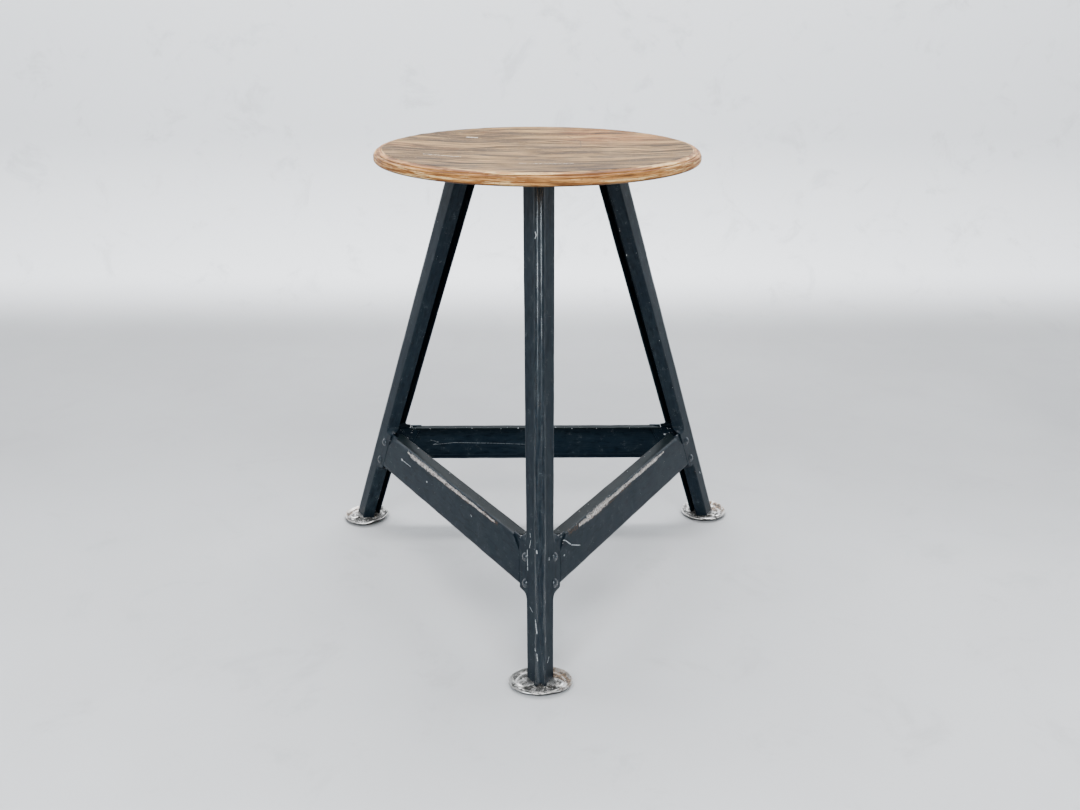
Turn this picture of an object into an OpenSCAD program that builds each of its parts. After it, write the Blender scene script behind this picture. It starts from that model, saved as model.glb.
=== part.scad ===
// Three-legged workshop stool: three folded sheet-steel legs that lean together like the
// edges of a triangular pyramid, three channel struts riveted between them, pressed steel
// feet and a round dished plywood seat.
//
// Frame: the origin is on the floor, on the seat's axis. +Z is up, and the front leg
// stands towards -Y.

/* [Seat] */
// Diameter of the seat
seat_d = 350; // [320:1:380]
// Height of the seat's rim above the floor
seat_h = 500; // [440:1:560]
// Depth of the dish in the seat's top
dish = 8; // [4:0.5:9]
// Thickness of the seat's edge
seat_edge = 13; // [12:0.5:16]
// Width of the rounding over the seat's top edge
edge_roll = 12; // [8:1:14]
// Height of the flat underside below the rim
seat_drop = 18; // [18:1:24]

/* [Legs] */
// Radius from the seat's axis to a leg's nose, at the floor
nose_r_floor = 272.4; // [240:0.1:300]
// Radius from the seat's axis to a leg's nose, at the leg's top
nose_r_top = 109.8; // [95:0.1:115]
// Width of a leg over its side folds, at the floor
leg_w_floor = 27.4; // [24:0.1:32]
// Width of a leg over its side folds, at the top
leg_w_top = 33.5; // [28:0.1:36]
// Width of the return flange behind each side fold
flange_w = 13.5; // [12:0.5:14]
// Thickness of the leg and strut sheet
sheet = 2; // [1.5:0.1:2]
// Outer radius of the leg's nose
nose_round = 6; // [4:0.5:7]
// Outer radius of the side folds
fold_round = 4; // [3:0.5:5]

/* [Struts] */
// Height of a strut's lower edge above the floor
strut_z = 85.5; // [80:0.5:120]
// Height of a strut's face
strut_tall = 46.5; // [40:0.5:48]
// Width of the strut's top flange
strut_top_w = 14; // [10:1:16]
// Width of the strut's bottom flange
strut_low_w = 10; // [8:1:12]
// Outer radius of the strut's long bends
strut_round = 4; // [3:0.5:5]
// Size of the clipped corner at each end of a strut
strut_clip = 14; // [10:1:16]

/* [Rivets] */
// Diameter of the rivet heads at the strut joints
rivet_head_d = 9.6; // [8:0.1:10]
// Height of the rivet heads
rivet_head_h = 2.6; // [2:0.1:3]
// Diameter of the rivet shanks
rivet_d = 5; // [4:0.1:5.5]

/* [Feet] */
// Diameter of a foot
foot_d = 59; // [54:1:64]
// Radius from the seat's axis to the centre of a foot
foot_r = 257; // [225:1:285]
// Thickness of the foot's sheet
foot_sheet = 1.8; // [1.5:0.1:2]
// Lift of the foot's turned-up rim
foot_rim = 3; // [2:0.1:4]

/* [Seat plate] */
// Diameter of the plate under the seat
plate_d = 228; // [220:1:228]
// Thickness of the plate
plate_t = 2; // [1.5:0.1:2.5]
// Diameter of the flared hole in the plate's middle
plate_hole_d = 70; // [50:1:80]
// Radius from the seat's axis to the screws
screw_r = 62; // [55:1:70]
// Diameter of the screws
screw_d = 4; // [3:0.5:4.5]

/* [Hidden] */

paint = [0.15, 0.19, 0.22];
wood = [0.62, 0.48, 0.34];
bare_steel = [0.62, 0.61, 0.58];
smooth = 96;

// Where each leg stands round the seat's axis, and where each strut's face looks
front = -90;
rear_left = 150;
rear_right = 30;
left_face = 210;
right_face = 330;
rear_face = 90;

// Heights of the stack under the seat
seat_base_z = seat_h - seat_drop;
plate_z = seat_base_z - plate_t;
leg_top_z = plate_z;

// The three noses would meet at sharp corners this far outside them. The lines of those
// corners are the edges of the pyramid, and its faces carry the flanks and the struts.
corner_out = nose_round;
lean = (nose_r_floor - nose_r_top) / leg_top_z;
function corner_r(z) = nose_r_floor + corner_out - lean * z;
face_tilt = atan(lean * cos(60));

// A leg's side folds are this far from its corner line, and the flanks stand at 30 degrees
flank = 30;
function fold_q(z) = leg_w_floor + (leg_w_top - leg_w_floor) * z / leg_top_z;

// The return flanges are opened flat into the pyramid's faces where the struts are riveted
// (the ears). Each ear starts just below the strut and ends just below the strut's top, and
// it folds back to a flange over a short run at each end.
fold_angle = 60;
ear_under = 0.5;
ear_tall = 44.5;
ear_low_z = strut_z - ear_under;
ear_high_z = ear_low_z + ear_tall;
ear_run_low = 8;
ear_run_high = 8;
ear_edge_q = fold_q(strut_z) + flange_w;

function ease(s) = let(c = min(1, max(0, s))) c * c * (3 - 2 * c);
function opened(z) =
    z < ear_low_z ? ease((z - ear_low_z + ear_run_low) / ear_run_low)
    : 1 - ease((z - ear_high_z) / ear_run_high);
function fold_at(z) = fold_angle * (1 - opened(z));

// ---- leg ------------------------------------------------------------------------------

function along(a, d) = [d * cos(a), d * sin(a)];

// One half of the folded section at height z, from the nose round to the flange's edge and
// back along the inside. u points away from the seat's axis, v to the side.
arc_steps = 5;
function half_section(z) =
    let(
        corner = [corner_r(z), 0],
        nose = corner - [nose_round / sin(flank), 0],
        out_a = 90 - flank,
        turn = fold_at(z),
        bend = corner + along(180 - flank, fold_q(z)),
        bend_c = bend - along(180 - flank, fold_round * tan(turn / 2))
            - along(out_a, fold_round),
        edge = bend + along(180 - flank + turn, flange_w),
        edge_in = edge - along(out_a + turn, sheet)
    )
    [
        [for (i = [0 : arc_steps]) nose + along(out_a * i / arc_steps, nose_round)],
        [for (i = [0 : arc_steps])
            bend_c + along(out_a + turn * i / arc_steps, fold_round)],
        [edge, edge_in],
        [for (i = [arc_steps : -1 : 0])
            bend_c + along(out_a + turn * i / arc_steps, fold_round - sheet)],
        [for (i = [arc_steps : -1 : 0])
            nose + along(out_a * i / arc_steps, nose_round - sheet)]
    ];

function joined(lists) = [for (part = lists) each part];
function mirrored(points) = [for (i = [len(points) - 1 : -1 : 0]) [points[i][0], -points[i][1]]];

function ring(z) =
    let(
        half = joined(half_section(z)),
        last = len(half) - 1,
        inner = [for (i = [1 : last - 1]) half[i]]
    )
    [for (p = concat([half[0]], inner, [half[last]], mirrored(inner))) [p[0], p[1], z]];

leg_base_z = foot_sheet;
leg_rings = joined([
    [leg_base_z],
    [for (i = [0 : 4]) ear_low_z - ear_run_low * (1 - i / 4)],
    [for (i = [0 : 8]) ear_high_z + ear_run_high * i / 8],
    [leg_top_z]
]);

module skin(heights) {
    rings = [for (z = heights) ring(z)];
    n = len(rings[0]);
    last = len(heights) - 1;
    sides = [
        for (r = [0 : last - 1], i = [0 : n - 1])
            let(a = r * n + i, b = r * n + (i + 1) % n)
                each [[a, a + n, b], [b, a + n, b + n]]
    ];
    low_cap = [for (i = [0 : n - 1]) i];
    high_cap = [for (i = [n - 1 : -1 : 0]) last * n + i];
    polyhedron(points = joined(rings), faces = concat(sides, [low_cap, high_cap]), convexity = 6);
}

// Small lugs turned out from the flanks at a leg's two ends, each with one rivet
lug_q = 20;
lug_reach = 9;
lug_d = 13;
function lug_root(z, side) = [corner_r(z), 0] + along(side * (180 - flank), lug_q);
function lug_centre(z, side) = lug_root(z, side) + along(side * (90 - flank), lug_reach);

module lug(z, side, base) {
    root = lug_root(z, side);
    tip = lug_centre(z, side);
    translate([0, 0, base])
        linear_extrude(height = sheet)
            union() {
                translate(tip)
                    circle(d = lug_d, $fn = smooth);
                translate((root + tip) / 2 - along(side * (90 - flank), sheet / 4))
                    rotate(side * (90 - flank))
                        square([lug_reach + sheet / 2, lug_d], center = true);
            }
}

// Stand children on the pyramid's face beside a leg, at height z and at distance q from the
// leg's corner line: their z axis points straight out of the face
module on_flank(q, z, side) {
    rotate([0, 0, side * 60])
        translate([corner_r(z) / 2, side * (q - corner_r(z) * sin(60)), z])
            rotate([0, -face_tilt, 0])
                rotate([0, 90, 0])
                    children();
}

// Each joint has two rivets, one above the other, through the ear and the strut's tongue
rivet_q = 30.5;
rivet_up = 7.5;
rivet_pitch = 25.5;
rivet_heights = [strut_z + rivet_up, strut_z + rivet_up + rivet_pitch];

module joint_holes(side) {
    for (z = rivet_heights)
        on_flank(rivet_q, z, side)
            cylinder(d = rivet_d, h = 6 * sheet, center = true, $fn = smooth);
}

module lug_holes(z, side, base) {
    translate(lug_centre(z, side))
        translate([0, 0, base - sheet])
            cylinder(d = rivet_d, h = 3 * sheet, $fn = smooth);
}

module leg() {
    color(paint)
        difference() {
            union() {
                skin(leg_rings);
                for (side = [-1, 1]) {
                    lug(leg_base_z, side, leg_base_z);
                    lug(leg_top_z, side, leg_top_z - sheet);
                }
            }
            for (side = [-1, 1]) {
                joint_holes(side);
                lug_holes(leg_base_z, side, leg_base_z);
                lug_holes(leg_top_z, side, leg_top_z - sheet);
            }
        }
}

// ---- strut ----------------------------------------------------------------------------

// Distance from the middle of a strut to the legs' corner lines, at height z
function half_span(z) = corner_r(z) * sin(60);

// Heights along the tilted face, from heights above the floor
function up_face(z) = z / cos(face_tilt);

// The channel's section: x is the depth behind the face, y the height along the face. The
// web lies in the face, and both flanges run inward, a little above level.
flange_rise = 4;
flange_a = face_tilt + flange_rise;
bend_steps = 6;
function bend_arc(centre, r, from, to) =
    [for (i = [0 : bend_steps]) centre + along(from + (to - from) * i / bend_steps, r)];

module channel_section() {
    low = [0, up_face(strut_z)];
    high = [0, up_face(strut_z + strut_tall)];
    low_end = low + along(flange_a, strut_low_w);
    high_end = high + along(flange_a, strut_top_w);
    low_n = flange_a + 270;
    high_n = flange_a + 90;
    low_c = low + [strut_round, strut_round * tan((low_n - 180) / 2)];
    high_c = high + [strut_round, -strut_round * tan((180 - high_n) / 2)];
    polygon(joined([
        [low_end],
        bend_arc(low_c, strut_round, low_n, 180),
        bend_arc(high_c, strut_round, 180, high_n),
        [high_end, high_end - along(high_n, sheet)],
        bend_arc(high_c, strut_round - sheet, high_n, 180),
        bend_arc(low_c, strut_round - sheet, 180, low_n),
        [low_end - along(low_n, sheet)]
    ]));
}

// The strut's outline seen square to its face: the ends run parallel to the legs and their
// upper corners are clipped. The outline runs on above the face, past the raised flange.
strut_gap = 0.5;
strut_end_q = ear_edge_q + strut_gap;
clip_z = strut_z + strut_tall - strut_clip * 0.9;
clip_slope = 1.03;
module strut_outline() {
    low = strut_z - 1;
    high = strut_z + strut_tall + 6;
    right = [
        [half_span(low) - strut_end_q, up_face(low)],
        [half_span(clip_z) - strut_end_q, up_face(clip_z)],
        [half_span(high) - strut_end_q - clip_slope * (high - clip_z), up_face(high)]
    ];
    left = [for (i = [2 : -1 : 0]) [-right[i][0], right[i][1]]];
    polygon(concat(right, left));
}

// Seen from above, the top flange runs on past the clipped corner to a slanted end
flange_slant = 1.08;
module flange_outline() {
    front = 1.5;
    back = strut_top_w + 2;
    span = half_span(strut_z + strut_tall) - strut_end_q - strut_clip;
    polygon([
        [-front, -span - flange_slant * front],
        [-back, -span - flange_slant * back],
        [-back, span + flange_slant * back],
        [-front, span + flange_slant * front]
    ]);
}

// The tongue stepped back behind the ear: it starts a lap inside the strut's end, closes the
// clipped corner from behind and reaches towards the leg's nose
tongue_in_q = 20;
tongue_lap = 5;
tongue_low = ear_low_z + 3;
tongue_high = ear_high_z;
tongue_top = strut_z + strut_tall - 0.5;
tongue_top_q = strut_end_q + tongue_lap + clip_slope * (tongue_top - clip_z);
module tongue_outline() {
    polygon([
        [half_span(tongue_low) - strut_end_q - tongue_lap, up_face(tongue_low)],
        [half_span(tongue_low) - tongue_in_q, up_face(tongue_low)],
        [half_span(tongue_high) - tongue_in_q, up_face(tongue_high)],
        [half_span(tongue_high) - strut_end_q - strut_gap, up_face(tongue_high)],
        [half_span(tongue_top) - strut_end_q - strut_gap, up_face(tongue_top)],
        [half_span(tongue_top) - tongue_top_q, up_face(tongue_top)]
    ]);
}

// Stand an outline drawn square to the face up in the face's plane, with a given depth
// behind the face; the face looks along +X
module in_face(depth, thick) {
    translate([corner_r(0) * cos(60), 0, 0])
        rotate([0, -face_tilt, 0])
            translate([-depth - thick, 0, 0])
                rotate([90, 0, 90])
                    linear_extrude(height = thick)
                        children();
}

module strut() {
    long = 2 * half_span(0);
    color(paint)
        difference() {
            union() {
                intersection() {
                    translate([corner_r(0) * cos(60), 0, 0])
                        rotate([0, -face_tilt, 0])
                            translate([0, long / 2, 0])
                                rotate([90, 0, 0])
                                    linear_extrude(height = long)
                                        mirror([1, 0])
                                            channel_section();
                    union() {
                        in_face(-1, strut_top_w + 2)
                            strut_outline();
                        translate([corner_r(0) * cos(60), 0, 0])
                            rotate([0, -face_tilt, 0])
                                translate([0, 0, up_face(strut_z + strut_tall - 3)])
                                    linear_extrude(height = 9)
                                        flange_outline();
                    }
                }
                in_face(sheet, sheet)
                    tongue_outline();
                in_face(sheet, sheet)
                    mirror([1, 0])
                        tongue_outline();
            }
            rotate([0, 0, 60])
                joint_holes(-1);
            rotate([0, 0, -60])
                joint_holes(1);
        }
}

// ---- rivets and screws ----------------------------------------------------------------

// A domed head standing on z = 0 and a shank going down to -grip, with an optional
// flat-formed tail below it
module rivet(head_d, head_h, grip, tail_d, tail_h) {
    ball = (head_d * head_d / 4 + head_h * head_h) / (2 * head_h);
    edge_a = asin(head_d / 2 / ball);
    rotate_extrude($fn = smooth)
        polygon(joined([
            [for (i = [0 : 8])
                [ball * sin(edge_a * i / 8), head_h - ball + ball * cos(edge_a * i / 8)]],
            [[rivet_d / 2, 0], [rivet_d / 2, -grip]],
            tail_h > 0 ? [[tail_d / 2, -grip], [tail_d / 2 - 0.8, -grip - tail_h]] : [],
            [[0, -grip - tail_h]]
        ]));
}

module joint_rivets(side) {
    color(paint)
        for (z = rivet_heights)
            on_flank(rivet_q, z, side)
                rivet(rivet_head_d, rivet_head_h, 2 * sheet, rivet_head_d - 1, 1.6);
}

// Under the seat the heads bear on the lugs from below, and the tails are flush in the plate
module top_rivets() {
    color(paint)
        for (side = [-1, 1])
            translate(lug_centre(leg_top_z, side))
                translate([0, 0, leg_top_z - sheet])
                    mirror([0, 0, 1])
                        rivet(rivet_head_d, rivet_head_h, sheet + plate_t, 0, 0);
}

// On the feet the heads bear on the lugs from above, and the tails are flush below
module foot_rivets() {
    color(bare_steel)
        for (side = [-1, 1])
            translate(lug_centre(leg_base_z, side))
                translate([0, 0, leg_base_z + sheet])
                    rivet(rivet_head_d - 1.6, rivet_head_h - 0.6, sheet + foot_sheet, 0, 0);
}

screw_deep = 8;
module screw_places() {
    for (i = [0 : 5])
        rotate([0, 0, 60 * i])
            translate([screw_r, 0, 0])
                children();
}

screw_head_d = 8.5;
screw_head_h = 2.4;
module seat_screws() {
    color(bare_steel)
        screw_places()
            rotate_extrude($fn = smooth)
                polygon([
                    [0, plate_z - screw_head_h],
                    [screw_head_d * 0.28, plate_z - screw_head_h],
                    [screw_head_d * 0.44, plate_z - screw_head_h * 0.7],
                    [screw_head_d / 2, plate_z],
                    [screw_d / 2, plate_z],
                    [screw_d / 2, seat_base_z + screw_deep - screw_d / 2],
                    [0, seat_base_z + screw_deep]
                ]);
}

// ---- seat, plate and feet -------------------------------------------------------------

module seat() {
    rim_r = seat_d / 2;
    roll_r = rim_r - edge_roll;
    roll_h = seat_edge * 0.55;
    under_round = 3.5;
    edge_low = seat_h - seat_edge;
    bearing_r = rim_r * 0.74;
    color(wood)
        difference() {
            rotate_extrude($fn = smooth)
                polygon(joined([
                    [for (i = [0 : 10])
                        [roll_r * i / 10, seat_h - dish * (1 - i * i / 100)]],
                    [for (a = [15 : 15 : 90])
                        [roll_r + edge_roll * sin(a), seat_h - roll_h * (1 - cos(a))]],
                    [for (a = [0 : 15 : 90])
                        [rim_r - under_round * (1 - cos(a)),
                            edge_low + under_round * (1 - sin(a))]],
                    [[bearing_r, seat_base_z], [0, seat_base_z]]
                ]));
            screw_places()
                translate([0, 0, seat_base_z - 1])
                    cylinder(d = screw_d, h = screw_deep + 1, $fn = smooth);
        }
}

module seat_plate() {
    hole_r = plate_hole_d / 2;
    collar = 5;
    color(paint)
        difference() {
            rotate_extrude($fn = smooth)
                polygon([
                    [hole_r, plate_z - collar],
                    [hole_r + plate_t, plate_z - collar],
                    [hole_r + plate_t, plate_z - 1.5],
                    [hole_r + plate_t + 1.5, plate_z],
                    [plate_d / 2, plate_z],
                    [plate_d / 2, seat_base_z],
                    [hole_r + 2, seat_base_z],
                    [hole_r, seat_base_z - 2]
                ]);
            screw_places()
                translate([0, 0, plate_z - 1])
                    cylinder(d = screw_d, h = plate_t + 2, $fn = smooth);
            for (a = [front, rear_left, rear_right], side = [-1, 1])
                rotate([0, 0, a])
                    lug_holes(leg_top_z, side, leg_top_z);
        }
}

// A shallow saucer with a turned-up rim, centred on the foot radius
module foot() {
    flat_r = foot_d / 2 - 7.5;
    rise_r = foot_d / 2 - 3;
    rim_r = foot_d / 2;
    t = foot_sheet;
    color(bare_steel)
        difference() {
            translate([foot_r, 0, 0])
                rotate_extrude($fn = smooth)
                    polygon([
                        [0, 0],
                        [flat_r, 0],
                        [rise_r, foot_rim * 0.45],
                        [rim_r - 0.4, foot_rim],
                        [rim_r, foot_rim + t * 0.5],
                        [rim_r - 0.5, foot_rim + t],
                        [rim_r - 1.3, foot_rim + t],
                        [rise_r - 0.8, foot_rim * 0.45 + t],
                        [flat_r - 0.4, t],
                        [0, t]
                    ]);
            for (side = [-1, 1])
                lug_holes(leg_base_z, side, leg_base_z);
        }
}

seat();
seat_plate();
seat_screws();
rotate([0, 0, front]) leg();  // leg_front
rotate([0, 0, rear_left]) leg();  // leg_rear_left
rotate([0, 0, rear_right]) leg();  // leg_rear_right
rotate([0, 0, left_face]) strut();  // strut_left
rotate([0, 0, right_face]) strut();  // strut_right
rotate([0, 0, rear_face]) strut();  // strut_rear
rotate([0, 0, front]) foot();  // foot_front
rotate([0, 0, rear_left]) foot();  // foot_rear_left
rotate([0, 0, rear_right]) foot();  // foot_rear_right
rotate([0, 0, front]) joint_rivets(-1);  // front_leg_left_rivets
rotate([0, 0, front]) joint_rivets(1);  // front_leg_right_rivets
rotate([0, 0, rear_left]) joint_rivets(1);  // left_leg_front_rivets
rotate([0, 0, rear_left]) joint_rivets(-1);  // left_leg_rear_rivets
rotate([0, 0, rear_right]) joint_rivets(-1);  // right_leg_front_rivets
rotate([0, 0, rear_right]) joint_rivets(1);  // right_leg_rear_rivets
rotate([0, 0, front]) top_rivets();  // top_rivets_front
rotate([0, 0, rear_left]) top_rivets();  // top_rivets_rear_left
rotate([0, 0, rear_right]) top_rivets();  // top_rivets_rear_right
rotate([0, 0, front]) foot_rivets();  // foot_rivets_front
rotate([0, 0, rear_left]) foot_rivets();  // foot_rivets_rear_left
rotate([0, 0, rear_right]) foot_rivets();  // foot_rivets_rear_right
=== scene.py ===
"""Looks of a three-legged workshop stool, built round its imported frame.

Every length is in metres. The origin is on the floor, on the seat's axis, +Z is up, and the
front leg stands towards -Y.
"""

import math
from types import SimpleNamespace

import bmesh
import bpy
from mathutils import Matrix, Vector, noise


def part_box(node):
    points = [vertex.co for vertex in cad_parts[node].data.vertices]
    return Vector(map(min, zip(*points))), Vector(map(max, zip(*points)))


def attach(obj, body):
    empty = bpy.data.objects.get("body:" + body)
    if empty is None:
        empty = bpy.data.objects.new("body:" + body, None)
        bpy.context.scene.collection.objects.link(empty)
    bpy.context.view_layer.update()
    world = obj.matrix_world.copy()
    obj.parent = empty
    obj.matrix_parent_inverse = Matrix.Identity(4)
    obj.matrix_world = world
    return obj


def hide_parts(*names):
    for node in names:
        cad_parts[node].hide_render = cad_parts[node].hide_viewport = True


bl_info = {
    "name": "Workshop Stool",
    "version": (1, 0, 0),
    "blender": (4, 5, 0),
    "location": "View3D > Sidebar > Workshop Stool",
    "description": "Builds the looks of a three-legged workshop stool round its packed frame",
    "category": "Add Mesh",
}

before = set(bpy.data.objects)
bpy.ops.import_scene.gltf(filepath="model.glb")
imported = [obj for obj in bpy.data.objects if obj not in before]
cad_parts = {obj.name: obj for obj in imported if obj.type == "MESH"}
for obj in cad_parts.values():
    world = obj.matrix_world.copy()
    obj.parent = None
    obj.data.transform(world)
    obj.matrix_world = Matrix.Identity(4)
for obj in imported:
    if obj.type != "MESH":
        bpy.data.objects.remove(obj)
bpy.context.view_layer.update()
SEAT_LO, SEAT_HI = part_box("seat")
LEG_LO, LEG_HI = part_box("leg_front")

MM = 0.001

# Where the legs stand round the seat's axis, and where the struts' faces look, in degrees
FRONT = -90
REAR_LEFT = 150
REAR_RIGHT = 30
LEFT_FACE = 210
RIGHT_FACE = 330
REAR_FACE = 90

# The pyramid whose edges the legs are and whose faces hold the flanks and the struts
CORNER_R = 278.4 * MM
LEAN = 0.33875
FLANK = math.radians(30)
FACE_TILT = math.atan(LEAN * math.cos(math.radians(60)))
# Half a side of its triangle for each metre from the axis to a corner
HALF_SIDE = math.sin(math.radians(60))

# The leg's width over its folds, at the floor and its gain for each metre of height
FOLD_Q = 27.4 * MM
FOLD_GAIN = 6.1 / 480

# Where the return flanges are opened flat into ears for the struts
EAR_LOW = 85 * MM
EAR_HIGH = 132 * MM
EAR_RUN = 8 * MM

# The struts' lower edge, how far their ends stop short of the pyramid's edges, and the clipped
# corners above
STRUT_Z = 85.5 * MM
STRUT_END_Q = 42.5 * MM
CLIP_Z = 119.4 * MM
CLIP_SLOPE = 1.03
FLANGE_CUT = 14 * MM
FLANGE_SLANT = 1.08

# The tongues that lie behind the ears, measured from the pyramid's edge
TONGUE_Q = 20 * MM
TONGUE_LOW = 88 * MM
TONGUE_HIGH = 129.5 * MM
TONGUE_TOP = 133.5 * MM

# Rivets at the strut joints, and the lugs at the legs' ends
RIVET_Q = 30.5 * MM
RIVET_HEIGHTS = (93 * MM, 118.5 * MM)
LUG_Q = 20 * MM
LUG_REACH = 9 * MM
LUG_R = 6.5 * MM
LEG_BASE = LEG_LO.z
LEG_TOP = LEG_HI.z
FOOT_R = 257 * MM


# ---- sizes and colours ------------------------------------------------------------------


class StoolShape(bpy.types.PropertyGroup):
    """Sizes of the stool's pieces"""

    dish: bpy.props.FloatProperty(
        name="Dish", description="Depth of the hollow in the seat's top",
        default=8 * MM, unit="LENGTH")
    edge_roll: bpy.props.FloatProperty(
        name="Edge Roll", description="Width of the rounding over the seat's top edge",
        default=12 * MM, unit="LENGTH")
    edge_height: bpy.props.FloatProperty(
        name="Edge Height", description="Thickness of the seat at its edge",
        default=13 * MM, unit="LENGTH")
    sheet: bpy.props.FloatProperty(
        name="Sheet", description="Thickness of the steel of legs and struts",
        default=2 * MM, unit="LENGTH")
    nose_round: bpy.props.FloatProperty(
        name="Nose Rounding", description="Outer radius of a leg's nose",
        default=6 * MM, unit="LENGTH")
    fold_round: bpy.props.FloatProperty(
        name="Fold Rounding", description="Outer radius of the long folds",
        default=4 * MM, unit="LENGTH")
    flange: bpy.props.FloatProperty(
        name="Flange", description="Width of a leg's return flange",
        default=13.5 * MM, unit="LENGTH")
    strut_height: bpy.props.FloatProperty(
        name="Strut Height", description="Height of a strut's face",
        default=46.5 * MM, unit="LENGTH")
    strut_top: bpy.props.FloatProperty(
        name="Strut Top Flange", description="Width of a strut's top flange",
        default=14 * MM, unit="LENGTH")
    strut_low: bpy.props.FloatProperty(
        name="Strut Bottom Flange", description="Width of a strut's bottom flange",
        default=10 * MM, unit="LENGTH")
    unevenness: bpy.props.FloatProperty(
        name="Unevenness", description="How far old knocks push the sheet in and out",
        default=0.22 * MM, unit="LENGTH")
    rivet_head: bpy.props.FloatProperty(
        name="Rivet Head", description="Diameter of the rivet heads at the strut joints",
        default=9.6 * MM, unit="LENGTH")


class StoolLooks(bpy.types.PropertyGroup):
    """Colours of the stool's finishes"""

    enamel: bpy.props.FloatVectorProperty(
        name="Enamel", description="Old blue-grey enamel on legs and struts",
        default=(0.0052, 0.0112, 0.0178), subtype="COLOR", size=3)
    enamel_dull: bpy.props.FloatVectorProperty(
        name="Dull Enamel", description="Enamel where it is rubbed and dusty",
        default=(0.0140, 0.0220, 0.0280), subtype="COLOR", size=3)
    bare: bpy.props.FloatVectorProperty(
        name="Bare Steel", description="Steel where the enamel is worn away",
        default=(0.62, 0.60, 0.57), subtype="COLOR", size=3)
    chip: bpy.props.FloatVectorProperty(
        name="Chip", description="Pale undercoat in small chips",
        default=(0.62, 0.66, 0.68), subtype="COLOR", size=3)
    rust: bpy.props.FloatVectorProperty(
        name="Rust", description="Rust round worn places",
        default=(0.115, 0.060, 0.024), subtype="COLOR", size=3)
    wood: bpy.props.FloatVectorProperty(
        name="Weathered Wood", description="Greyed wood of the seat's top",
        default=(0.118, 0.065, 0.024), subtype="COLOR", size=3)
    wood_dark: bpy.props.FloatVectorProperty(
        name="Dark Grain", description="Dark lines of the grain",
        default=(0.028, 0.013, 0.0055), subtype="COLOR", size=3)
    wood_warm: bpy.props.FloatVectorProperty(
        name="Warm Wood", description="Places where the old varnish still glows",
        default=(0.26, 0.098, 0.025), subtype="COLOR", size=3)
    wood_edge: bpy.props.FloatVectorProperty(
        name="Edge Wood", description="Golden wood of the rounded edge",
        default=(0.200, 0.072, 0.018), subtype="COLOR", size=3)


class StoolStudio(bpy.types.PropertyGroup):
    """Light and backdrop"""

    backdrop: bpy.props.FloatVectorProperty(
        name="Floor", description="Colour of the floor",
        default=(0.62, 0.625, 0.635), subtype="COLOR", size=3)
    wall: bpy.props.FloatVectorProperty(
        name="Wall", description="Colour of the wall behind the stool",
        default=(0.88, 0.89, 0.91), subtype="COLOR", size=3)
    sky: bpy.props.FloatProperty(
        name="Room Light", description="Strength of the light from all round",
        default=0.45, min=0)
    soft_boxes: bpy.props.FloatProperty(
        name="Front Lights", description="Power of each light in front of the stool, in watts",
        default=45, min=0, unit="POWER")
    front_top: bpy.props.FloatProperty(
        name="High Front Light", description="Power of the high light in front, in watts",
        default=72, min=0, unit="POWER")
    overhead: bpy.props.FloatProperty(
        name="Overhead Light", description="Power of the light over the stool, in watts",
        default=20, min=0, unit="POWER")
    wall_wash: bpy.props.FloatProperty(
        name="Wall Light", description="Power of the light on the wall, in watts",
        default=98, min=0, unit="POWER")


# ---- materials --------------------------------------------------------------------------


class Socket:
    """A value on its way through a material. Arithmetic on it adds Math nodes."""

    def __init__(self, finish, output):
        self.finish = finish
        self.output = output

    def math(self, operation, left, right=0.0, clamp=False):
        settings = {"operation": operation, "use_clamp": clamp}
        return self.finish.node("ShaderNodeMath", settings, {0: left, 1: right})

    def __add__(self, other):
        return self.math("ADD", self, other)

    def __radd__(self, other):
        return self.math("ADD", other, self)

    def __sub__(self, other):
        return self.math("SUBTRACT", self, other)

    def __rsub__(self, other):
        return self.math("SUBTRACT", other, self)

    def __mul__(self, other):
        return self.math("MULTIPLY", self, other)

    def __rmul__(self, other):
        return self.math("MULTIPLY", other, self)

    def either(self, other):
        return self.math("MAXIMUM", self, other)


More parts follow.
